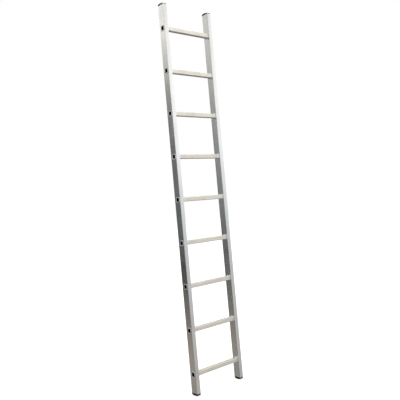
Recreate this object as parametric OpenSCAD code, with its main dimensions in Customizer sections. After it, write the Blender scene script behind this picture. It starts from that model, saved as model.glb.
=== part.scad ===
// Single-section leaning ladder: two aluminium box stiles, hollow square rungs rolled into them,
// moulded caps in the top ends and moulded feet in the bottom ends.
// Origin on the floor, midway between the feet. +Z runs up the stiles, -Y is the climber's side.

/* [Ladder] */
// Number of rungs
rung_count = 9; // [3:1:14]
// Distance from one rung to the next, centre to centre
rung_pitch = 280; // [200:5:350]
// Width over the outer faces of the two stiles
ladder_w = 400; // [320:5:600]
// Length of stile below the centre of the lowest rung
bottom_overhang = 120; // [80:1:250]
// Length of stile above the centre of the highest rung
top_overhang = 154; // [80:1:300]

/* [Stiles] */
// Width of a stile, seen from the front
stile_w = 28; // [22:1:40]
// Depth of a stile, front to back
stile_d = 60; // [50:1:90]
// Wall thickness of the stile tube
stile_wall = 1.8; // [1.2:0.1:2.4]
// Radius of the stile's long outer edges
stile_edge_r = 3; // [2.5:0.1:5]

/* [Rungs] */
// Size of the square rung tube, over its flats
rung_size = 28; // [22:1:34]
// Wall thickness of the rung tube
rung_wall = 2; // [1.4:0.1:3]
// Radius of the rung's long outer edges
rung_edge_r = 4; // [3.2:0.1:6]
// How far the rungs sit in front of the middle of the stile
rung_forward = 4; // [0:1:5]
// Number of anti-slip grooves along the tread
groove_count = 5; // [1:1:5]
// Spacing of the grooves
groove_pitch = 4; // [2.4:0.1:4]
// Width of one groove
groove_w = 1.6; // [0.8:0.1:2]
// Depth of one groove
groove_depth = 0.7; // [0.3:0.1:1]

/* [Rolled rung ends] */
// Slack between the rung tube and the hole punched through each stile wall
rung_gap = 0.2; // [0.1:0.05:0.4]
// How far the rolled metal stands out around the rung tube
roll_lip = 4; // [2:0.5:5]
// Thickness of the flare pressed flat against the stile's outer face
flare_t = 2.5; // [1.5:0.5:4]
// Thickness of the bead that the stile's inner face sits against
bead_t = 3.5; // [2:0.5:5]

/* [Caps and feet] */
// Height of a top cap above the cut end of its stile, at the crown
cap_h = 12; // [9:0.5:16]
// How much lower the cap is at its front edge
cap_drop = 8.5; // [2:0.5:8.5]
// How far the crown of the cap sits behind the middle of the stile
crown_back = 8; // [0:1:12]
// Height of a foot below the cut end of its stile
foot_h = 14; // [10:0.5:24]
// How much the sole lifts off the floor at its front and back edges
sole_lift = 6; // [2:0.5:8]
// Front-to-back length of the flat land in the middle of the sole
sole_land = 24; // [12:1:30]
// Width of one groove across the sole
tread_w = 2; // [1:0.5:3]
// Depth of one groove across the sole
tread_depth = 1.5; // [0.5:0.1:2]
// Spacing of the grooves across the sole
tread_pitch = 5; // [4:0.5:6]
// How far a cap or a foot plugs into its stile
plug_depth = 32; // [20:1:45]
// Wall thickness of the hollow plug
plug_wall = 2.2; // [1.6:0.1:3]
// Slack between the plug and the inside of the stile, on each side
plug_gap = 0.6; // [0.3:0.1:1]
// Slack left around the plug's grip ribs
rib_gap = 0.1; // [0.05:0.05:0.2]
// Number of grip ribs around each plug
rib_count = 3; // [1:1:3]
// Thickness of one grip rib
rib_t = 1.4; // [1:0.1:2]

/* [Hidden] */
$fn = 48;
// Oversize that carries a cut cleanly past the face it starts from
cut = 1;

stile_l = bottom_overhang + (rung_count - 1) * rung_pitch + top_overhang;
stile_bottom_z = foot_h;
stile_top_z = foot_h + stile_l;
stile_x = (ladder_w - stile_w) / 2;
inner_w = stile_w - 2 * stile_wall;
inner_d = stile_d - 2 * stile_wall;
inner_edge_r = stile_edge_r - stile_wall;
rib_pitch = (plug_depth - rib_t) / (rib_count + 1);

// Height of the centre of rung n, counted from 1 at the bottom
function rung_z(n) = stile_bottom_z + bottom_overhang + (n - 1) * rung_pitch;

// Height of the centre of the arc that crosses the points (land / 2, 0) and (depth / 2, rise)
function arc_centre(land, depth, rise) =
    ((pow(depth, 2) - pow(land, 2)) / (4 * rise) + rise) / 2;

// Flat outline, w by d, with its four corners rounded to radius r
module rounded_outline(w, d, r) {
    square([w - 2 * r, d], center = true);
    square([w, d - 2 * r], center = true);
    for (sx = [-1, 1], sy = [-1, 1])
        translate([sx * (w / 2 - r), sy * (d / 2 - r)])
            circle(r = r);
}

// Turns an outline drawn in X and Y into a bar of length l that runs along X from x
module bar_along_x(x, l) {
    translate([x, 0, 0])
        rotate([90, 0, 90])
            linear_extrude(l)
                children();
}

// Square outline around a rung, grow wider on every side than the tube itself
module around_rung(grow) {
    rounded_outline(rung_size + 2 * grow, rung_size + 2 * grow, rung_edge_r + grow);
}

// Box stile with a square hole through both side walls for every rung
module stile(side) {
    color([0.75, 0.76, 0.76])
        translate([side * stile_x, 0, 0])
            difference() {
                translate([0, 0, stile_bottom_z])
                    linear_extrude(stile_l)
                        rounded_outline(stile_w, stile_d, stile_edge_r);
                translate([0, 0, stile_bottom_z - cut])
                    linear_extrude(stile_l + 2 * cut)
                        rounded_outline(inner_w, inner_d, inner_edge_r);
                for (n = [1:rung_count])
                    translate([0, -rung_forward, rung_z(n)])
                        bar_along_x(-stile_w / 2 - cut, stile_w + 2 * cut)
                            around_rung(rung_gap);
            }
}

// Outline of the rung tube: hollow, with the anti-slip grooves in its upper face
module rung_outline() {
    difference() {
        around_rung(0);
        around_rung(-rung_wall);
        for (k = [0:groove_count - 1])
            translate([(k - (groove_count - 1) / 2) * groove_pitch, rung_size / 2])
                square([groove_w, 2 * groove_depth], center = true);
    }
}

// Flat ring of rolled metal around the rung tube, from x and t thick
module rolled_ring(x, t) {
    bar_along_x(x, t)
        difference() {
            around_rung(roll_lip);
            around_rung(-rung_wall);
        }
}

// One rung: tube through both stiles, a flare outside and a bead inside each of them
module rung(n) {
    color([0.82, 0.8, 0.77])
        translate([0, -rung_forward, rung_z(n)]) {
            bar_along_x(-ladder_w / 2, ladder_w)
                rung_outline();
            rolled_ring(-ladder_w / 2 - flare_t, flare_t);
            rolled_ring(ladder_w / 2, flare_t);
            rolled_ring(-ladder_w / 2 + stile_w, bead_t);
            rolled_ring(ladder_w / 2 - stile_w - bead_t, bead_t);
        }
}

// Hollow plug that fills the end of a stile, its mouth at z = 0 and its rim at z = plug_depth
module plug() {
    plug_w = inner_w - 2 * plug_gap;
    plug_d = inner_d - 2 * plug_gap;
    difference() {
        union() {
            linear_extrude(plug_depth)
                rounded_outline(plug_w, plug_d, inner_edge_r);
            for (k = [1:rib_count])
                translate([0, 0, k * rib_pitch])
                    linear_extrude(rib_t)
                        rounded_outline(inner_w - 2 * rib_gap, inner_d - 2 * rib_gap, inner_edge_r);
        }
        translate([0, 0, plug_wall])
            linear_extrude(plug_depth)
                rounded_outline(plug_w - 2 * plug_wall, plug_d - 2 * plug_wall, inner_edge_r);
    }
}

// Block of the stile's outline, from z = 0 up, whose top is an arc seen from the side. The arc
// reaches height h over its flat land, whose middle sits at y = back, and is drop lower at the
// front edge.
module crowned_block(h, drop, land, back) {
    centre = arc_centre(land, stile_d + 2 * back, drop);
    intersection() {
        linear_extrude(h)
            rounded_outline(stile_w, stile_d, stile_edge_r);
        translate([0, back, h - centre])
            rotate([0, 90, 0])
                cylinder(r = norm([centre, land / 2]), h = stile_w + 2 * cut, center = true, $fn = 96);
    }
}

// Moulded cap in the top end of a stile
module top_cap(side) {
    color([0.09, 0.09, 0.09])
        translate([side * stile_x, 0, stile_top_z]) {
            crowned_block(cap_h, cap_drop, 0, crown_back);
            mirror([0, 0, 1])
                plug();
        }
}

// Grooves across the sole, between its flat land and its front and back edges
module sole_grooves() {
    centre = arc_centre(sole_land, stile_d, sole_lift);
    radius = norm([centre, sole_land / 2]);
    first = sole_land / 2 + tread_w;
    for (side = [-1, 1], y = [first:tread_pitch:stile_d / 2 - tread_w])
        translate([0, side * y, foot_h - centre + sqrt(pow(radius, 2) - pow(y, 2))])
            cube([stile_w + 2 * cut, tread_w, 2 * tread_depth], center = true);
}

// Moulded foot in the bottom end of a stile, with a rocker sole
module foot(side) {
    color([0.06, 0.06, 0.06])
        translate([side * stile_x, 0, stile_bottom_z]) {
            mirror([0, 0, 1])
                difference() {
                    crowned_block(foot_h, sole_lift, sole_land, 0);
                    sole_grooves();
                }
            plug();
        }
}

stile(-1);  // stile_left
stile(1);  // stile_right
for (n = [1:rung_count])
    rung(n);
top_cap(-1);  // top_cap_left
top_cap(1);  // top_cap_right
foot(-1);  // foot_left
foot(1);  // foot_right
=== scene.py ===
# %% [markdown]
# # A single-section leaning ladder
#
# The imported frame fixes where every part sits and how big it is. This lesson rebuilds each part
# with the detail a real one has, gives every finish its own grain and wear, and then lights the
# ladder in a white studio.
#
# Everything is in metres. +Z runs up the stiles, +X runs along the rungs, and the climber stands
# on the -Y side.

# %% Load the frame
import math

import bmesh
import bpy
from mathutils import Matrix, Vector


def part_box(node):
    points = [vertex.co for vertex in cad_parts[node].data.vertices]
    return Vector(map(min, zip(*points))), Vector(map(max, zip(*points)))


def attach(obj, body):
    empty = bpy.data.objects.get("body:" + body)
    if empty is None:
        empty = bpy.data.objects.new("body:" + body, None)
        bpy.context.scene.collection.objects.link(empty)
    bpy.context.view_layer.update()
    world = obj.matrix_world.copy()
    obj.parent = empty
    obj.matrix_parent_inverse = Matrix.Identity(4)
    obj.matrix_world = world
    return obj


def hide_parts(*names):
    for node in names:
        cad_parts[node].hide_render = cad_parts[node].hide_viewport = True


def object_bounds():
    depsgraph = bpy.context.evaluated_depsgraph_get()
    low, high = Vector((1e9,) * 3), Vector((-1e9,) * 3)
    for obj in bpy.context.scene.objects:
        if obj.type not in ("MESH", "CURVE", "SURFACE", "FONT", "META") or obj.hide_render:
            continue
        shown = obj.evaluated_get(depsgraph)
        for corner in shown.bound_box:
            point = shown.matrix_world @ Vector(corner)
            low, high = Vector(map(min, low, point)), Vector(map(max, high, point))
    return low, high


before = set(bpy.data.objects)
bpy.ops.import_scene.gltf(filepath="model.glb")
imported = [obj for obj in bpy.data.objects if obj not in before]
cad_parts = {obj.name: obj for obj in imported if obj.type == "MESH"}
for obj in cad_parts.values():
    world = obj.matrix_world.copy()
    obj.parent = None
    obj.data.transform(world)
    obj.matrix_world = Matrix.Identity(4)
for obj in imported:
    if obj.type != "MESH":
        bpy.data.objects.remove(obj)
cad_low, cad_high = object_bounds()
rung_nodes = sorted(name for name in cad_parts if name.startswith("rung_"))
print("rungs in the frame:", len(rung_nodes))
print("ladder size:", [round(side, 4) for side in cad_high - cad_low])

# %% [markdown]
# ## Sizes
#
# Places and overall sizes are read from the frame's own boxes, so that the detailed parts always
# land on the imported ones. What a box can't tell, such as the wall of a tube or the radius of an
# edge, is a named size here. Points closer than TOUCH count as the same place.

# %% Sizes that a box doesn't show
MM = 0.001
STILE_WALL = 1.8 * MM
STILE_EDGE_R = 3 * MM
TUBE_WALL = 2 * MM
TUBE_EDGE_R = 4 * MM
ROLL_LIP = 4 * MM
BEAD_T = 3.5 * MM
HOLE_GAP = 0.2 * MM
TOUCH = 1e-6

# %% Sizes read from the frame
stile_low, stile_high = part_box("stile_right")
rung_low, rung_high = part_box(rung_nodes[0])
tube_size = rung_high.z - rung_low.z - 2 * ROLL_LIP
rung_y = (rung_low.y + rung_high.y) / 2
rung_heights = {name: sum(corner.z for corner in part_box(name)) / 2 for name in rung_nodes}
print("rung tube:", round(tube_size / MM, 2), "mm square, centre line at y", round(rung_y / MM, 2))

# %% [markdown]
# ## Outlines and skins
#
# Every part of this ladder is an extrusion or a moulding on a rounded rectangle. One helper draws
# such an outline: a flat grid face with its corners bevelled, of which only the border is kept. A
# second helper spans faces from each outline to the next, as a sheet of metal would wrap them.
# Drawing outlines and bridging them is the quickest way to a tube that swells, flares and turns
# back inside itself, and it stays one closed skin.

# %% Draw an outline
CORNER_STEPS = 6


def outline(bm, width, depth, radius, place):
    """Draws a rectangle with rounded corners and returns its loop of edges."""
    before = set(bm.edges)
    flat = bmesh.ops.create_grid(
        bm, x_segments=1, y_segments=1, size=0.5, matrix=place @ Matrix.Diagonal((width, depth, 1, 1))
    )
    bmesh.ops.bevel(
        bm,
        geom=flat["verts"],
        offset=radius,
        segments=CORNER_STEPS,
        profile=0.5,
        affect="VERTICES",
        material=-1,
    )
    loop = [edge for edge in bm.edges if edge not in before]
    bmesh.ops.delete(bm, geom=list(loop[0].link_faces), context="FACES_ONLY")
    return loop


# %% Span faces over outlines
def skin(bm, loops):
    """Spans faces from each loop of edges to the next one."""
    for first, second in zip(loops, loops[1:]):
        bmesh.ops.bridge_loops(bm, edges=first + second)


# %% [markdown]
# A finished part is a mesh at the origin, with its place in its mesh. Flat faces next to a narrow
# round edge look bent if every corner normal is a plain average, so a Weighted Normal modifier
# lets the large faces decide. The part then takes over from the plain one in the frame.

# %% Turn a mesh into a finished part
SHARP_ANGLE = math.radians(40)


def finish_mesh(bm, name):
    """Makes a mesh out of bm, with faces outwards and smooth shading up to the sharp edges."""
    bmesh.ops.recalc_face_normals(bm, faces=bm.faces)
    mesh = bpy.data.meshes.new(name)
    bm.to_mesh(mesh)
    bm.free()
    mesh.shade_smooth()
    mesh.set_sharp_from_angle(angle=SHARP_ANGLE)
    return mesh


def place_part(mesh, node_name, materials):
    """Shows mesh in place of the frame's own part."""
    part = bpy.data.objects.new(node_name + "_detailed", mesh)
    bpy.context.scene.collection.objects.link(part)
    for material in materials:
        mesh.materials.append(material)
    flat_faces = part.modifiers.new("flat_faces", "WEIGHTED_NORMAL")
    flat_faces.keep_sharp = True
    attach(part, "root")
    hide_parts(node_name)
    print(part.name, "faces:", len(mesh.polygons))


# %% [markdown]
# ## Finishes
#
# The ladder has five finishes: mill-finish aluminium on the stiles, a warmer and duller aluminium
# on the rungs, a near-black colour in the bores of the rungs that is painted shade, satin black
# plastic on the caps and dull black rubber on the feet. Several of them share an effect, so each
# effect is a node group that puts out masks and heights, and every material places it with its
# own values.

# %% Make nodes
def add_node(tree, kind, inputs=None, **settings):
    """Adds a node, sets it up, and fills its inputs with values or with other nodes' outputs."""
    made = tree.nodes.new(kind)
    for name, value in settings.items():
        setattr(made, name, value)
    for name, value in (inputs or {}).items():
        if isinstance(value, bpy.types.NodeSocket):
            tree.links.new(value, made.inputs[name])
        else:
            made.inputs[name].default_value = value
    return made


def maths(tree, operation, first, second=0.0, clamp=False):
    """The result of a Math node on two values or outputs."""
    made = add_node(
        tree, "ShaderNodeMath", {0: first, 1: second}, operation=operation, use_clamp=clamp
    )
    return made.outputs[0]


def ramp(tree, value, low, high):
    """0 up to low, 1 from high on, and smooth between; it falls where low is the larger."""
    made = add_node(
        tree,
        "ShaderNodeMapRange",
        {"Value": value, "From Min": low, "From Max": high},
        interpolation_type="SMOOTHSTEP",
    )
    return made.outputs["Result"]


def mix_colours(tree, factor, first, second):
    """One colour turning into another."""
    made = add_node(tree, "ShaderNodeMix", {"Factor": factor}, data_type="RGBA")
    colours = [socket for socket in made.inputs if socket.type == "RGBA"]
    for socket, value in zip(colours, (first, second)):
        if isinstance(value, bpy.types.NodeSocket):
            tree.links.new(value, socket)
        else:
            socket.default_value = (*value, 1)
    return next(socket for socket in made.outputs if socket.type == "RGBA")


def lay_over(tree, colour, *layers):
    """A colour with layers over it, each of them a mask, a share of it and the layer's colour."""
    for mask, share, over in layers:
        colour = mix_colours(tree, maths(tree, "MULTIPLY", mask, share), colour, over)
    return colour


def add_up(tree, total, *terms):
    """A number to which each term, a mask and a share of it, is added."""
    for mask, share in terms:
        inputs = {0: mask, 1: share, 2: total}
        total = add_node(tree, "ShaderNodeMath", inputs, operation="MULTIPLY_ADD").outputs[0]
    return total


def new_group(name, inputs, outputs):
    """A shader node group with named inputs and outputs, and its two end nodes."""
    group = bpy.data.node_groups.new(name, "ShaderNodeTree")
    for socket_name, kind in inputs:
        group.interface.new_socket(name=socket_name, in_out="INPUT", socket_type=kind)
    for socket_name, kind in outputs:
        group.interface.new_socket(name=socket_name, in_out="OUTPUT", socket_type=kind)
    return group, group.nodes.new("NodeGroupInput"), group.nodes.new("NodeGroupOutput")


def use_group(tree, group, inputs):
    """Places a node group in a material."""
    return add_node(tree, "ShaderNodeGroup", inputs, node_tree=group).outputs


# %% [markdown]
# An extrusion leaves the die with fine parallel lines along its whole length. Noise that is
# stretched a few hundred times along one axis gives them: one coarse set that tints the metal in
# bands, and one fine set that only roughens it.

# %% Node group: lines that the die leaves
die_lines, lines_in, lines_out = new_group(
    "die_lines",
    [("Stretched Position", "NodeSocketVector"), ("Lines Per Metre", "NodeSocketFloat")],
    [("Bands", "NodeSocketFloat"), ("Fine Lines", "NodeSocketFloat")],
)
bands = add_node(
    die_lines,
    "ShaderNodeTexNoise",
    {"Vector": lines_in.outputs[0], "Scale": lines_in.outputs[1], "Detail": 2.0, "Roughness": 0.5},
)
fine_scale = maths(die_lines, "MULTIPLY", lines_in.outputs[1], 5.0)
fine_lines = add_node(
    die_lines,
    "ShaderNodeTexNoise",
    {"Vector": lines_in.outputs[0], "Scale": fine_scale, "Detail": 3.0, "Roughness": 0.6},
)
die_lines.links.new(ramp(die_lines, bands.outputs["Fac"], 0.3, 0.7), lines_out.inputs[0])
die_lines.links.new(ramp(die_lines, fine_lines.outputs["Fac"], 0.3, 0.7), lines_out.inputs[1])
print("node group:", die_lines.name)

# %% [markdown]
# Bare aluminium is never even. It dulls in soft cloudy patches, and hands and racks leave short
# rubs across it. The patches come from broad noise, and the rubs from a tighter noise that only
# counts where it peaks.

# %% Node group: cloudy patches and rubs
patches, patches_in, patches_out = new_group(
    "patches_and_rubs",
    [("Position", "NodeSocketVector"), ("Patches Per Metre", "NodeSocketFloat")],
    [("Patches", "NodeSocketFloat"), ("Rubs", "NodeSocketFloat")],
)
clouds = add_node(
    patches,
    "ShaderNodeTexNoise",
    {"Vector": patches_in.outputs[0], "Scale": patches_in.outputs[1], "Detail": 4.0, "Roughness": 0.55},
)
rub_scale = maths(patches, "MULTIPLY", patches_in.outputs[1], 9.0)
rub_noise = add_node(
    patches,
    "ShaderNodeTexNoise",
    {
        "Vector": patches_in.outputs[0],
        "Scale": rub_scale,
        "Detail": 5.0,
        "Roughness": 0.65,
        "Distortion": 0.6,
    },
)
patches.links.new(ramp(patches, clouds.outputs["Fac"], 0.35, 0.68), patches_out.inputs[0])
patches.links.new(ramp(patches, rub_noise.outputs["Fac"], 0.58, 0.72), patches_out.inputs[1])
print("node group:", patches.name)

# %% [markdown]
# Moulded parts copy the skin of their mould, a leathery grain of tiny cells. Smooth Voronoi cells
# give the grain, and a little noise keeps the cells from looking printed.

# %% Node group: moulded grain
moulded_grain, grain_in, grain_out = new_group(
    "moulded_grain",
    [("Position", "NodeSocketVector"), ("Cells Per Metre", "NodeSocketFloat")],
    [("Height", "NodeSocketFloat"), ("Speckle", "NodeSocketFloat")],
)
cells = add_node(
    moulded_grain,
    "ShaderNodeTexVoronoi",
    {"Vector": grain_in.outputs[0], "Scale": grain_in.outputs[1], "Smoothness": 0.6},
    feature="SMOOTH_F1",
)
speckle = add_node(
    moulded_grain,
    "ShaderNodeTexNoise",
    {"Vector": grain_in.outputs[0], "Scale": grain_in.outputs[1], "Detail": 3.0},
)
fine_grain = maths(moulded_grain, "MULTIPLY", speckle.outputs["Fac"], 0.4)
grain_height = maths(moulded_grain, "ADD", cells.outputs["Distance"], fine_grain)
moulded_grain.links.new(grain_height, grain_out.inputs[0])
moulded_grain.links.new(ramp(moulded_grain, speckle.outputs["Fac"], 0.4, 0.65), grain_out.inputs[1])
print("node group:", moulded_grain.name)

# %% [markdown]
# A ladder stands on floors and wet ground, so a thin film of dust gathers near its feet. The mask
# is strongest at the floor and fades out over the reach that each material gives it. Noise that is
# stretched upwards breaks it up, as rain would.

# %% Node group: dust near the floor
floor_dust, dust_in, dust_out = new_group(
    "floor_dust",
    [("Position", "NodeSocketVector"), ("Reach", "NodeSocketFloat")],
    [("Dust", "NodeSocketFloat")],
)
dust_height = add_node(floor_dust, "ShaderNodeSeparateXYZ", {0: dust_in.outputs[0]}).outputs["Z"]
climbed = maths(floor_dust, "DIVIDE", dust_height, dust_in.outputs[1])
dust_fade = maths(floor_dust, "SUBTRACT", 1.0, climbed, clamp=True)
run_down = add_node(
    floor_dust, "ShaderNodeMapping", {"Vector": dust_in.outputs[0], "Scale": (1, 1, 0.15)}
)
dust_noise = add_node(
    floor_dust,
    "ShaderNodeTexNoise",
    {"Vector": run_down.outputs["Vector"], "Scale": 60.0, "Detail": 3.0},
)
streaks = ramp(floor_dust, dust_noise.outputs["Fac"], 0.4, 0.62)
dust_mask = maths(floor_dust, "MULTIPLY", dust_fade, streaks)
floor_dust.links.new(dust_mask, dust_out.inputs[0])
print("node group:", floor_dust.name)


# %% Start a material
def new_material(name):
    """A material with its tree, its Principled shader and the Object coordinates of the part."""
    material = bpy.data.materials.new(name)
    material.use_nodes = True
    tree = material.node_tree
    shader = tree.nodes["Principled BSDF"]
    position = tree.nodes.new("ShaderNodeTexCoord").outputs["Object"]
    return material, tree, shader, position


def stretched(tree, position, scale):
    """Position stretched by scale, for a pattern that runs along one axis."""
    return add_node(tree, "ShaderNodeMapping", {"Vector": position, "Scale": scale}).outputs["Vector"]


def add_bump(tree, shader, height, depth, strength):
    """Raises the surface by depth where height is 1."""
    bump = add_node(
        tree, "ShaderNodeBump", {"Height": height, "Distance": depth, "Strength": strength}
    )
    tree.links.new(bump.outputs["Normal"], shader.inputs["Normal"])


# %% [markdown]
# ### Stile aluminium
#
# The stiles are extruded and left as they come: bright, cool grey and fairly smooth, so that they
# carry soft reflections of the room from end to end. The bands follow the length, the patches
# dull it here and there, and the rubs show as faint, rougher marks.

# %% Material of the stiles
stile_metal, tree, shader, position = new_material("stile_aluminium")
along_stile = stretched(tree, position, (1, 1, 0.004))
lines = use_group(
    tree, die_lines, {"Stretched Position": along_stile, "Lines Per Metre": 160.0}
)
marks = use_group(tree, patches, {"Position": position, "Patches Per Metre": 7.0})
dust = use_group(tree, floor_dust, {"Position": position, "Reach": 0.28})
metal = mix_colours(tree, lines["Bands"], (0.82, 0.825, 0.83), (0.70, 0.705, 0.71))
metal = lay_over(
    tree,
    metal,
    (marks["Patches"], 0.5, (0.72, 0.72, 0.715)),
    (dust["Dust"], 0.2, (0.55, 0.51, 0.46)),
)
rough = add_up(
    tree,
    0.17,
    (lines["Fine Lines"], 0.06),
    (marks["Patches"], 0.06),
    (marks["Rubs"], 0.08),
    (dust["Dust"], 0.1),
)
tree.links.new(metal, shader.inputs["Base Color"])
tree.links.new(rough, shader.inputs["Roughness"])
shader.inputs["Metallic"].default_value = 1.0
add_bump(tree, shader, lines["Fine Lines"], 0.02 * MM, 0.5)
print("material:", stile_metal.name)

# %% [markdown]
# ### Rung aluminium
#
# The rungs come from another extrusion. Their alloy is a little warmer and their surface duller,
# so they look creamy beside the stiles. Boots polish the middle of each tread, which shows as a
# brighter, smoother patch on the upward faces between the stiles. The tool that rolls the ends
# burnishes them smoother, and the collars and flares are painted as cool and bright as the stiles:
# this lighter, cooler colour is a painted highlight on the rolled beads.

# %% Material of the rungs
WORN_FROM = 40 * MM
WORN_TO = 150 * MM
BURNISH_AND_HIGHLIGHT_LENGTH = 18 * MM

rung_metal, tree, shader, position = new_material("rung_aluminium")
along_rung = stretched(tree, position, (0.006, 1, 1))
lines = use_group(
    tree, die_lines, {"Stretched Position": along_rung, "Lines Per Metre": 220.0}
)
marks = use_group(tree, patches, {"Position": position, "Patches Per Metre": 12.0})
along = add_node(tree, "ShaderNodeSeparateXYZ", {0: position}).outputs["X"]
from_middle = maths(tree, "ABSOLUTE", along)
near_middle = ramp(tree, from_middle, WORN_TO, WORN_FROM)
normal = tree.nodes.new("ShaderNodeNewGeometry").outputs["Normal"]
upwards = add_node(tree, "ShaderNodeSeparateXYZ", {0: normal}).outputs["Z"]
tread = maths(tree, "MULTIPLY", near_middle, ramp(tree, upwards, 0.3, 0.9))
worn = maths(tree, "MULTIPLY", tread, maths(tree, "ADD", 0.4, marks["Rubs"]), clamp=True)
# Mask of the collars and flares: smoother from burnish, and painted lighter and cooler as a highlight.
burnish_and_highlight_from = stile_low.x - BURNISH_AND_HIGHLIGHT_LENGTH
burnish_and_highlight = ramp(tree, from_middle, burnish_and_highlight_from, burnish_and_highlight_from + BURNISH_AND_HIGHLIGHT_LENGTH / 3)
metal = mix_colours(tree, lines["Bands"], (0.87, 0.84, 0.775), (0.81, 0.775, 0.71))
metal = lay_over(
    tree,
    metal,
    (marks["Patches"], 0.5, (0.74, 0.70, 0.635)),
    (worn, 0.6, (0.90, 0.885, 0.86)),
    # Lighter, cooler colour on the collars and flares: a painted highlight.
    (burnish_and_highlight, 0.9, (0.83, 0.84, 0.845)),
)
rough = add_up(
    tree,
    0.42,
    (lines["Fine Lines"], 0.08),
    (marks["Patches"], 0.08),
    (worn, -0.14),
    (burnish_and_highlight, -0.15),
)
tree.links.new(metal, shader.inputs["Base Color"])
tree.links.new(rough, shader.inputs["Roughness"])
shader.inputs["Metallic"].default_value = 0.85
add_bump(tree, shader, lines["Fine Lines"], 0.03 * MM, 0.5)
print("material:", rung_metal.name)

# %% [markdown]
# Nobody finishes the inside of a rung. Its bore gets a dull, near-black colour that is painted
# shade for the dark deep inside the tube, so that the open ends read as black squares on the outer
# faces of the stiles.

# %% Material of the bores, painted shade
bore_painted_shade, tree, shader, position = new_material("rung_bore_painted_shade")
along_bore = stretched(tree, position, (0.01, 1, 1))
lines = use_group(
    tree, die_lines, {"Stretched Position": along_bore, "Lines Per Metre": 200.0}
)
marks = use_group(tree, patches, {"Position": position, "Patches Per Metre": 30.0})
# Near-black base colour: painted shade for the dark inside of the tube.
bore_shade_colour = mix_colours(tree, lines["Bands"], (0.026, 0.027, 0.027), (0.016, 0.017, 0.017))
bore_shade_colour = lay_over(tree, bore_shade_colour, (marks["Patches"], 0.6, (0.012, 0.0115, 0.011)))
rough = add_up(tree, 0.6, (marks["Patches"], 0.2))
tree.links.new(bore_shade_colour, shader.inputs["Base Color"])
tree.links.new(rough, shader.inputs["Roughness"])
shader.inputs["Metallic"].default_value = 0.6
shader.inputs["Specular IOR Level"].default_value = 0.2
add_bump(tree, shader, lines["Fine Lines"], 0.05 * MM, 0.5)
print("material:", bore_painted_shade.name)

# %% [markdown]
# ### Black plastic and black rubber
#
# The caps are moulded in a hard plastic with a fine grain and a weak satin sheen. The feet are a
# rubbery plastic with a coarser grain and hardly any sheen, and they pick up dust from the floor.

# %% Material of the top caps
cap_plastic, tree, shader, position = new_material("cap_plastic")
grain = use_group(tree, moulded_grain, {"Position": position, "Cells Per Metre": 900.0})
marks = use_group(tree, patches, {"Position": position, "Patches Per Metre": 40.0})
black = mix_colours(tree, grain["Speckle"], (0.004, 0.004, 0.0042), (0.007, 0.007, 0.0073))
black = lay_over(tree, black, (marks["Rubs"], 0.3, (0.025, 0.025, 0.025)))
rough = add_up(tree, 0.42, (marks["Patches"], 0.1), (marks["Rubs"], 0.15))
tree.links.new(black, shader.inputs["Base Color"])
tree.links.new(rough, shader.inputs["Roughness"])
shader.inputs["Specular IOR Level"].default_value = 0.06
add_bump(tree, shader, grain["Height"], 0.05 * MM, 0.4)
print("material:", cap_plastic.name)

# %% Material of the feet
foot_rubber, tree, shader, position = new_material("foot_rubber")
grain = use_group(tree, moulded_grain, {"Position": position, "Cells Per Metre": 600.0})
marks = use_group(tree, patches, {"Position": position, "Patches Per Metre": 40.0})
dust = use_group(tree, floor_dust, {"Position": position, "Reach": 0.03})
black = mix_colours(tree, grain["Speckle"], (0.003, 0.003, 0.003), (0.0055, 0.0055, 0.0053))
black = lay_over(
    tree,
    black,
    (marks["Rubs"], 0.4, (0.028, 0.027, 0.026)),
    (dust["Dust"], 0.12, (0.10, 0.09, 0.08)),
)
rough = add_up(tree, 0.55, (marks["Patches"], 0.15), (dust["Dust"], 0.2))
tree.links.new(black, shader.inputs["Base Color"])
tree.links.new(rough, shader.inputs["Roughness"])
shader.inputs["Specular IOR Level"].default_value = 0.04
add_bump(tree, shader, grain["Height"], 0.08 * MM, 0.5)
print("material:", foot_rubber.name)

# %% [markdown]
# ## Stiles
#
# A stile is a rectangular tube with round long edges and a square hole through both side walls for
# every rung. It could be cut with booleans, but a tube is easier to keep clean by hand: two skins,
# the outside and the inside of the wall, are raised from their outlines and sliced into cells. At
# each rung the cell is taken out, a hole with round corners is spanned into its place, and the
# holes of the two skins are joined through the wall.

# %% Raise the two skins of a stile
def raise_skin(bm, low, high, inset):
    """Draws the outline of a box, inset on every side, at its foot and pulls it up to its top."""
    size = high - low
    middle = (low + high) / 2
    foot = outline(
        bm,
        size.x - 2 * inset,
        size.y - 2 * inset,
        STILE_EDGE_R - inset,
        Matrix.Translation((middle.x, middle.y, low.z)),
    )
    raised = bmesh.ops.extrude_edge_only(bm, edges=foot)["geom"]
    top = [item for item in raised if isinstance(item, bmesh.types.BMVert)]
    bmesh.ops.translate(bm, verts=top, vec=(0, 0, size.z))


def slice_through(bm, point, direction):
    """Cuts every face along a plane."""
    everything = [*bm.verts, *bm.edges, *bm.faces]
    bmesh.ops.bisect_plane(bm, geom=everything, dist=TOUCH, plane_co=point, plane_no=direction)


# %% Open a hole for a rung
CELL_MARGIN = 1 * MM
PUNCH_DRAW = 0.2 * MM
hole_size = tube_size + 2 * HOLE_GAP
hole_radius = TUBE_EDGE_R + HOLE_GAP
turned_to_x = Matrix.Rotation(math.pi / 2, 4, "Y")


def open_hole(bm, x, z, draw):
    """Swaps the cell of a side wall at x and z for a hole, its rim drawn in by draw."""
    centre = Vector((x, rung_y, z))
    cell = min(bm.faces, key=lambda face: (face.calc_center_median() - centre).length)
    border = list(cell.edges)
    bmesh.ops.delete(bm, geom=[cell], context="FACES_ONLY")
    place = Matrix.Translation(centre + Vector((draw, 0, 0))) @ turned_to_x
    rim = outline(bm, hole_size, hole_size, hole_radius, place)
    skin(bm, [border, rim])
    return rim


# %% Build a stile
DEBURR = 0.4 * MM


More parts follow.
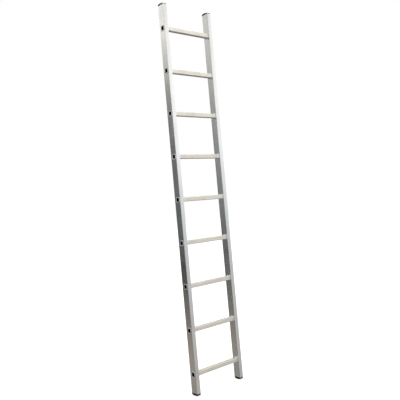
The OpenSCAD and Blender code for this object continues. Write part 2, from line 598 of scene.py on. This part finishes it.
def build_stile(node_name):
    """A stile of the frame, with its wall, its holes and its deburred ends."""
    low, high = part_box(node_name)
    bm = bmesh.new()
    chamfer = Vector((0, 0, DEBURR))
    raise_skin(bm, low, high, 0)
    raise_skin(bm, low + chamfer, high - chamfer, STILE_WALL)
    reach = hole_size / 2 + CELL_MARGIN
    for side in (-1, 1):
        slice_through(bm, (0, rung_y + side * reach, 0), (0, 1, 0))
        for height in rung_heights.values():
            slice_through(bm, (0, 0, height + side * reach), (0, 0, 1))
    for height in rung_heights.values():
        for outer, inward in ((low.x, 1), (high.x, -1)):
            draw = inward * PUNCH_DRAW
            outer_rim = open_hole(bm, outer, height, draw)
            inner_rim = open_hole(bm, outer + inward * STILE_WALL, height, draw)
            skin(bm, [outer_rim, inner_rim])
    for end in (low.z, high.z):
        borders = [
            edge
            for edge in bm.edges
            if edge.is_boundary and abs(edge.verts[0].co.z - end) < 2 * DEBURR
        ]
        bmesh.ops.bridge_loops(bm, edges=borders)
    return finish_mesh(bm, node_name)


for node_name in ("stile_left", "stile_right"):
    place_part(build_stile(node_name), node_name, [stile_metal])

# %% [markdown]
# ## Rungs
#
# A rung is a square tube that is pushed through both stiles and then locked by rolling: inside each
# stile the tube swells into a bead, and outside it is flared over, so that the stile's walls are
# gripped between the two. The rung is drawn as one closed skin. It is described by how far it has
# grown from the plain tube at each place along its length, first on the outside, over the bead and
# the flare, and then back through the bore.

# %% Sections along a rung
ROUND_STEPS = 6
FILLET_STEPS = 3
FILLET = 1.2 * MM
MOUTH_R = 3 * MM
ROLL_SLACK = 0.15 * MM


def rolled_edge(start, end):
    """Stations over a rolled rim between two places on the length, round at the top."""
    radius = (end - start) / 2
    angles = [math.pi * (step / ROUND_STEPS - 0.5) for step in range(ROUND_STEPS + 1)]
    return [
        (start + radius + radius * math.sin(angle), ROLL_LIP - radius + radius * math.cos(angle))
        for angle in angles
    ]


def fillet(end):
    """Stations of the hollow curve that leads from the tube up to the side of the bead."""
    angles = [math.pi / 2 * step / FILLET_STEPS for step in range(FILLET_STEPS + 1)]
    return [
        (end - FILLET + FILLET * math.sin(angle), FILLET - FILLET * math.cos(angle))
        for angle in angles
    ]


def mouth(end):
    """Stations round the mouth at end, from its face into the bore."""
    angles = [math.pi / 2 * step / ROUND_STEPS for step in range(ROUND_STEPS + 1)]
    return [
        (end - MOUTH_R + MOUTH_R * math.cos(angle), MOUTH_R - TUBE_WALL - MOUTH_R * math.sin(angle))
        for angle in angles
    ]


# %% Build one rung at height zero
def half_rung():
    """Stations from the plain tube, over the bead and the flare, into the bore, as (x, growth)."""
    return [
        *fillet(stile_low.x - BEAD_T),
        *rolled_edge(stile_low.x - BEAD_T + ROLL_SLACK, stile_low.x - ROLL_SLACK),
        (stile_low.x, 0),
        (stile_high.x, 0),
        *rolled_edge(stile_high.x + ROLL_SLACK, rung_high.x),
        *mouth(rung_high.x - ROLL_SLACK),
    ]


def tube_outline(bm, x, growth):
    """The rung's square outline at x."""
    size = tube_size + 2 * growth
    place = Matrix.Translation((x, rung_y, 0)) @ turned_to_x
    return outline(bm, size, size, TUBE_EDGE_R + growth, place)


rung_bm = bmesh.new()
right_half = half_rung()
left_half = [(-x, growth) for x, growth in reversed(right_half)]
loops = [tube_outline(rung_bm, x, growth) for x, growth in left_half + right_half]
skin(rung_bm, [*loops, loops[0]])
bmesh.ops.recalc_face_normals(rung_bm, faces=rung_bm.faces)
print("outlines along the rung:", len(loops))

# %% [markdown]
# The tread has five shallow grooves along it, so that a wet boot doesn't slide. The long upper face
# is sliced at both sides of every groove, and the strips between the slices are sunk.

# %% Sink the grooves of the tread
GROOVE_COUNT = 5
GROOVE_PITCH = 4 * MM
GROOVE_W = 1.6 * MM
GROOVE_DEPTH = 0.7 * MM
GROOVE_EDGE_R = 0.25 * MM

groove_lines = [rung_y + (k - (GROOVE_COUNT - 1) / 2) * GROOVE_PITCH for k in range(GROOVE_COUNT)]
tread_centre = Vector((0, rung_y, tube_size / 2))
upper_face = min(rung_bm.faces, key=lambda face: (face.calc_center_median() - tread_centre).length)
strips = [upper_face, *upper_face.edges, *upper_face.verts]
for line in groove_lines:
    for side in (-1, 1):
        edge_of_groove = (0, line + side * GROOVE_W / 2, 0)
        cut = bmesh.ops.bisect_plane(
            rung_bm, geom=strips, dist=TOUCH, plane_co=edge_of_groove, plane_no=(0, 1, 0)
        )
        strips = cut["geom"]

floors = [
    item
    for item in strips
    if isinstance(item, bmesh.types.BMFace)
    and min(abs(item.calc_center_median().y - line) for line in groove_lines) < GROOVE_W / 4
]
rims = [
    edge
    for face in floors
    for edge in face.edges
    if abs(edge.verts[0].co.y - edge.verts[1].co.y) < TOUCH
]
sunk = bmesh.ops.extrude_discrete_faces(rung_bm, faces=floors)["faces"]
sunk_points = list({vert for face in sunk for vert in face.verts})
bmesh.ops.translate(rung_bm, verts=sunk_points, vec=(0, 0, -GROOVE_DEPTH))
bmesh.ops.bevel(
    rung_bm, geom=rims, offset=GROOVE_EDGE_R, segments=2, profile=0.5, affect="EDGES", material=-1
)
print("grooves:", len(sunk))

# %% Give every rung its place
bore_reach = tube_size / 2 - TUBE_WALL / 2
# Faces inside the bore take the second material, the painted shade.
for face in rung_bm.faces:
    middle = face.calc_center_median()
    face.material_index = int(max(abs(middle.y - rung_y), abs(middle.z)) < bore_reach)

rung_mesh = finish_mesh(rung_bm, "rung")
for node_name, height in rung_heights.items():
    mesh = rung_mesh.copy()
    mesh.name = node_name
    mesh.transform(Matrix.Translation((0, 0, height)))
    place_part(mesh, node_name, [rung_metal, bore_painted_shade])

# %% [markdown]
# ## Top caps and feet
#
# Both close the open ends of a stile. Each is a moulded block as wide and deep as the stile, with a
# hollow ribbed plug that grips inside the tube. The cap's top is one shallow arc. The foot's sole
# has a flat land in the middle, from which it curves up to the front and back, so that it keeps its
# grip when the ladder leans. Seen from the side each block is a flat outline, so a single vertex is
# walked round that outline, the outline is filled, and the face is pulled across the stile's width.

# %% Walk an outline and pull it into a block
def walk(bm, x, points):
    """Draws a closed outline at x through points of (y, z), and fills it."""
    first = bmesh.ops.create_vert(bm, co=(x, *points[0]))["vert"][0]
    tip = first
    for y, z in points[1:]:
        stepped = bmesh.ops.extrude_vert_indiv(bm, verts=[tip])["verts"][0]
        stepped.co = (x, y, z)
        tip = stepped
    bmesh.ops.contextual_create(bm, geom=[tip, first])
    return bmesh.ops.contextual_create(bm, geom=list(bm.edges))["faces"]


def pull_block(points, low_x, high_x):
    """A block between low_x and high_x whose side view is the outline through points."""
    bm = bmesh.new()
    side_face = walk(bm, low_x, points)
    pulled = bmesh.ops.extrude_face_region(bm, geom=side_face)["geom"]
    far_side = [item for item in pulled if isinstance(item, bmesh.types.BMVert)]
    bmesh.ops.translate(bm, verts=far_side, vec=(high_x - low_x, 0, 0))
    bmesh.ops.recalc_face_normals(bm, faces=bm.faces)
    return bm


def fall(y, land, depth, rise):
    """How far an arc has fallen at y, when it is level over land and falls by rise at the edges."""
    centre = ((depth**2 - land**2) / (4 * rise) + rise) / 2
    if abs(y) <= land / 2:
        return 0.0
    return centre - math.sqrt(math.hypot(centre, land / 2) ** 2 - y**2)


# %% Round a block's edges
def is_level(edge):
    """True if both ends of an edge are at the same height."""
    return abs(edge.verts[0].co.z - edge.verts[1].co.z) < TOUCH


def round_edges(bm, edges, radius, segments):
    """Bevels edges to a radius."""
    bmesh.ops.bevel(
        bm, geom=edges, offset=radius, segments=segments, profile=0.5, affect="EDGES", material=-1
    )


def round_block(bm, low, high, seam_z, rim_r):
    """Rounds the upright corners to the stile's own radius, and softens the rim all round."""
    upright = [
        edge
        for edge in bm.edges
        if not is_level(edge) and all(abs(abs(vert.co.y) - high.y) < TOUCH for vert in edge.verts)
    ]
    round_edges(bm, upright, STILE_EDGE_R, CORNER_STEPS)

    def is_outer(face):
        middle = face.calc_center_median()
        from_side = min(abs(middle.x - low.x), abs(middle.x - high.x))
        from_end = high.y - abs(middle.y)
        return abs(face.normal.z) < 0.1 and min(from_side, from_end) < STILE_EDGE_R

    outer = {face for face in bm.faces if is_outer(face)}
    rim = [
        edge
        for edge in bm.edges
        if len(outer.intersection(edge.link_faces)) == 1
        and max(abs(vert.co.z - seam_z) for vert in edge.verts) > DEBURR
    ]
    round_edges(bm, rim, rim_r, 3)


# %% Grow the plug
PLUG_DEPTH = 32 * MM
PLUG_WALL = 2.2 * MM
PLUG_GAP = 0.6 * MM
RIB_COUNT = 3
RIB_T = 1.4 * MM
RIB_GROWTH = 0.5 * MM
RIB_EDGE = 0.3 * MM
rib_pitch = (PLUG_DEPTH - RIB_T) / (RIB_COUNT + 1)
plug_inset = STILE_WALL + PLUG_GAP


def plug_stations():
    """(depth, growth) down the outside of the plug, over its ribs, and back up inside it."""
    stations = [(RIB_EDGE, 0)]
    for k in range(1, RIB_COUNT + 1):
        start = k * rib_pitch
        stations += [(start, 0), (start + RIB_EDGE, RIB_GROWTH)]
        stations += [(start + RIB_T - RIB_EDGE, RIB_GROWTH), (start + RIB_T, 0)]
    stations += [(PLUG_DEPTH - RIB_EDGE, 0), (PLUG_DEPTH, -RIB_EDGE)]
    stations += [(PLUG_DEPTH - RIB_EDGE, -PLUG_WALL), (PLUG_WALL, -PLUG_WALL)]
    return stations


def grow_plug(bm, low, high, seam_z, direction):
    """Opens the face at the seam and grows the hollow plug from its border into the stile."""
    centre = Vector(((low.x + high.x) / 2, 0, seam_z))
    seam_face = min(bm.faces, key=lambda face: (face.calc_center_median() - centre).length)
    border = list(seam_face.edges)
    bmesh.ops.delete(bm, geom=[seam_face], context="FACES_ONLY")
    loops = [border]
    for depth, growth in plug_stations():
        place = Matrix.Translation(centre + Vector((0, 0, direction * depth)))
        width = high.x - low.x - 2 * plug_inset + 2 * growth
        length = high.y - low.y - 2 * plug_inset + 2 * growth
        loops.append(outline(bm, width, length, STILE_EDGE_R - STILE_WALL, place))
    skin(bm, loops)
    bmesh.ops.edgeloop_fill(bm, edges=loops[-1])


# %% Build the top caps
CAP_DROP = 8.5 * MM
CROWN_BACK = 8 * MM
CAP_RIM_R = 0.8 * MM
ARC_STEPS = 12


def build_cap(node_name, stile_name):
    """A cap with an arched top, on the top end of its stile. Its crown sits behind the middle."""
    low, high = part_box(stile_name)
    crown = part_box(node_name)[1].z
    depth = high.y - low.y
    arc = [low.y + depth * step / ARC_STEPS for step in range(ARC_STEPS + 1)]
    top = [(y, crown - fall(y - CROWN_BACK, 0, depth + 2 * CROWN_BACK, CAP_DROP)) for y in arc]
    bm = pull_block([(low.y, high.z), *top, (high.y, high.z)], low.x, high.x)
    round_block(bm, low, high, high.z, CAP_RIM_R)
    grow_plug(bm, low, high, high.z, -1)
    return finish_mesh(bm, node_name)


for side in ("left", "right"):
    node_name = "top_cap_" + side
    place_part(build_cap(node_name, "stile_" + side), node_name, [cap_plastic])

# %% Build the feet
SOLE_LAND = 24 * MM
SOLE_LIFT = 6 * MM
TREAD_W = 2 * MM
TREAD_DEPTH = 1.5 * MM
TREAD_PITCH = 5 * MM
TREAD_COUNT = 3
FOOT_RIM_R = 0.5 * MM


def sole_half(depth):
    """The sole from the edge of its flat land to the back edge, with its grooves, as (y, z)."""
    points = [(SOLE_LAND / 2, 0)]
    for k in range(TREAD_COUNT):
        line = SOLE_LAND / 2 + TREAD_W + k * TREAD_PITCH
        floor = fall(line, SOLE_LAND, depth, SOLE_LIFT) + TREAD_DEPTH
        front, back = line - TREAD_W / 2, line + TREAD_W / 2
        points += [(front, fall(front, SOLE_LAND, depth, SOLE_LIFT)), (front, floor)]
        points += [(back, floor), (back, fall(back, SOLE_LAND, depth, SOLE_LIFT))]
    return points + [(depth / 2, SOLE_LIFT)]


def build_foot(node_name, stile_name):
    """A foot with a rocker sole, on the bottom end of its stile."""
    low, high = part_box(stile_name)
    back_half = sole_half(high.y - low.y)
    front_half = [(-y, z) for y, z in reversed(back_half)]
    bm = pull_block([(low.y, low.z), *front_half, *back_half, (high.y, low.z)], low.x, high.x)
    round_block(bm, low, high, low.z, FOOT_RIM_R)
    grow_plug(bm, low, high, low.z, 1)
    return finish_mesh(bm, node_name)


for side in ("left", "right"):
    node_name = "foot_" + side
    place_part(build_foot(node_name, "stile_" + side), node_name, [foot_rubber])

# %% [markdown]
# ## Studio
#
# The ladder stands on a plain white floor in a white room. Polished metal shows whatever stands
# round it, so the room that it reflects matters more than any lamp. It is bright overhead and on
# the climber's side. Straight behind the ladder a dark screen stands from a little below the
# horizon to a little above it, as a photographer would put one to give the stiles their edge, and
# the wall over it is bright. The camera itself sees plain white.

# %% Lay the floor
FLOOR_SIZE = 60.0

floor_bm = bmesh.new()
bmesh.ops.create_grid(floor_bm, x_segments=1, y_segments=1, size=FLOOR_SIZE / 2)
floor_mesh = bpy.data.meshes.new("studio_floor")
floor_bm.to_mesh(floor_mesh)
floor_bm.free()
floor = bpy.data.objects.new("studio_floor", floor_mesh)
bpy.context.scene.collection.objects.link(floor)
floor.visible_diffuse = False
floor.visible_glossy = False

floor_white, tree, shader, position = new_material("floor_white")
paper = add_node(tree, "ShaderNodeTexNoise", {"Vector": position, "Scale": 3.0, "Detail": 4.0})
white = mix_colours(tree, paper.outputs["Fac"], (0.9, 0.9, 0.9), (0.93, 0.93, 0.93))
tree.links.new(white, shader.inputs["Base Color"])
shader.inputs["Roughness"].default_value = 0.9
shader.inputs["Emission Color"].default_value = (1, 1, 1, 1)
shader.inputs["Emission Strength"].default_value = 0.45
floor_mesh.materials.append(floor_white)
print("floor:", FLOOR_SIZE, "m square")

# %% [markdown]
# The room is a world shader. Its colour depends only on the direction: how high it is above the
# horizon, and to which side it lies. Three gradients over the height, for the front of the room,
# for its back and for the dark screen, are mixed by the turn: 1 towards the bright front, -1
# straight away from it. The screen fills the room where the turn is below SCREEN_EDGE.

# %% Describe the room's colours over the height
TOP_ELEVATION = 40
HEIGHT_SPAN = math.sin(math.radians(TOP_ELEVATION))
FRONT = [
    (-TOP_ELEVATION, (0.40, 0.355, 0.31)),
    (-20, (0.55, 0.525, 0.50)),
    (-12, (0.59, 0.595, 0.595)),
    (-3, (0.65, 0.68, 0.695)),
    (3, (0.96, 0.98, 0.98)),
    (8, (1.24, 1.24, 1.22)),
    (22, (1.30, 1.30, 1.26)),
    (26, (0.30, 0.30, 0.29)),
    (34, (0.30, 0.30, 0.29)),
    (39, (1.05, 1.05, 1.04)),
]
BACK = [
    (-TOP_ELEVATION, (0.22, 0.21, 0.20)),
    (-15, (0.31, 0.30, 0.28)),
    (-6, (0.20, 0.20, 0.195)),
    (0, (0.60, 0.60, 0.59)),
    (8, (0.95, 0.95, 0.94)),
    (20, (0.42, 0.42, 0.41)),
    (39, (0.85, 0.85, 0.84)),
]
DARK_SCREEN = [
    (-TOP_ELEVATION, (0.28, 0.24, 0.21)),
    (-18, (0.51, 0.45, 0.39)),
    (-12, (0.14, 0.12, 0.095)),
    (-7, (0.0, 0.004, 0.005)),
    (-3, (0.10, 0.11, 0.112)),
    (3, (0.125, 0.135, 0.137)),
    (12, (0.06, 0.068, 0.065)),
    (18, (0.82, 0.795, 0.74)),
    (21, (2.2, 2.1, 1.88)),
    (26, (3.5, 3.35, 3.0)),
]


def over_height(tree, height, stops):
    """A colour that changes over the height, from stops of (elevation in degrees, colour)."""
    made = add_node(tree, "ShaderNodeValToRGB", {0: height})
    bar = made.color_ramp
    while len(bar.elements) < len(stops):
        bar.elements.new(0.5)
    for element, (elevation, colour) in zip(bar.elements, stops):
        element.position = (math.sin(math.radians(elevation)) / HEIGHT_SPAN + 1) / 2
        element.color = (*colour, 1)
    return made.outputs["Color"]


# %% Light the room
BRIGHT_SIDE = Vector((0.342, -0.94, 0))
SIDE_BLEND = 0.3
SCREEN_EDGE = (-0.96, -0.84)

world = bpy.data.worlds.new("studio_room")
bpy.context.scene.world = world
world.use_nodes = True
tree = world.node_tree
direction = tree.nodes.new("ShaderNodeTexCoord").outputs["Generated"]
up = add_node(tree, "ShaderNodeSeparateXYZ", {0: direction}).outputs["Z"]
height = add_node(
    tree, "ShaderNodeMapRange", {"Value": up, "From Min": -HEIGHT_SPAN, "From Max": HEIGHT_SPAN}
).outputs["Result"]
turn = add_node(
    tree, "ShaderNodeVectorMath", {0: direction, 1: tuple(BRIGHT_SIDE)}, operation="DOT_PRODUCT"
).outputs["Value"]
back = over_height(tree, height, BACK)
front = over_height(tree, height, FRONT)
screen = over_height(tree, height, DARK_SCREEN)
room = mix_colours(tree, ramp(tree, turn, -SIDE_BLEND, SIDE_BLEND), back, front)
room = mix_colours(tree, ramp(tree, turn, *SCREEN_EDGE), screen, room)
seen_by_camera = tree.nodes.new("ShaderNodeLightPath").outputs["Is Camera Ray"]
shown = mix_colours(tree, seen_by_camera, room, (1, 1, 1))
tree.links.new(shown, tree.nodes["Background"].inputs["Color"])
print("room made of", len(tree.nodes), "nodes")

# %% [markdown]
# Three large soft lamps finish the job. The key lamp stands high on the climber's right and draws
# the round edges of the stiles, a wide lamp hangs overhead, and one behind keeps the back of the
# ladder readable.

# %% Hang the lamps
ladder_centre = (cad_low + cad_high) / 2


def hang_lamp(name, place, size, power):
    """A soft square lamp at place that points at the middle of the ladder."""
    lamp = bpy.data.lights.new(name, "AREA")
    lamp.size = size
    lamp.energy = power
    holder = bpy.data.objects.new(name, lamp)
    bpy.context.scene.collection.objects.link(holder)
    aim = (ladder_centre - Vector(place)).to_track_quat("-Z", "Y")
    holder.matrix_world = Matrix.Translation(place) @ aim.to_matrix().to_4x4()
    print(name, "at", place)


hang_lamp("key_lamp", (1.8, -2.4, 5.4), 2.0, 30)
hang_lamp("top_lamp", (0.0, 0.0, 6.0), 3.0, 15)
hang_lamp("back_lamp", (0.6, 2.6, 5.4), 2.0, 15)

# %% [markdown]
# ## Camera
#
# The camera stands in front of the ladder, at about half its height, to the climber's left. It is
# turned to face the ladder and tipped a little, so that the ladder leans across the picture.

# %% Set up the camera
CAMERA_PLACE = (-2.065, -2.564, 1.202)
LOOK_TURN = math.radians(38.7)
LOOK_UP = math.radians(1.4)
LOOK_TIP = math.radians(-5.12)
LENS = 44.23
LENS_SHIFT = -0.015

camera = bpy.data.cameras.new("studio_camera")
camera.sensor_width = 36.0
camera.lens = LENS
camera.shift_y = LENS_SHIFT
holder = bpy.data.objects.new("studio_camera", camera)
bpy.context.scene.collection.objects.link(holder)
holder.matrix_world = (
    Matrix.Translation(CAMERA_PLACE)
    @ Matrix.Rotation(-LOOK_TURN, 4, "Z")
    @ Matrix.Rotation(math.pi / 2 + LOOK_UP, 4, "X")
    @ Matrix.Rotation(LOOK_TIP, 4, "Z")
)
bpy.context.scene.camera = holder
bpy.context.scene.view_settings.view_transform = "Standard"
print("camera at", CAMERA_PLACE)

# %% [markdown]
# ## Size of the frame
#
# The detailed parts are meant to fill the same box as the frame. Only the frame's box is printed here.

# %% Write down the sizes
print("frame box:", [round(side, 4) for side in cad_high - cad_low])
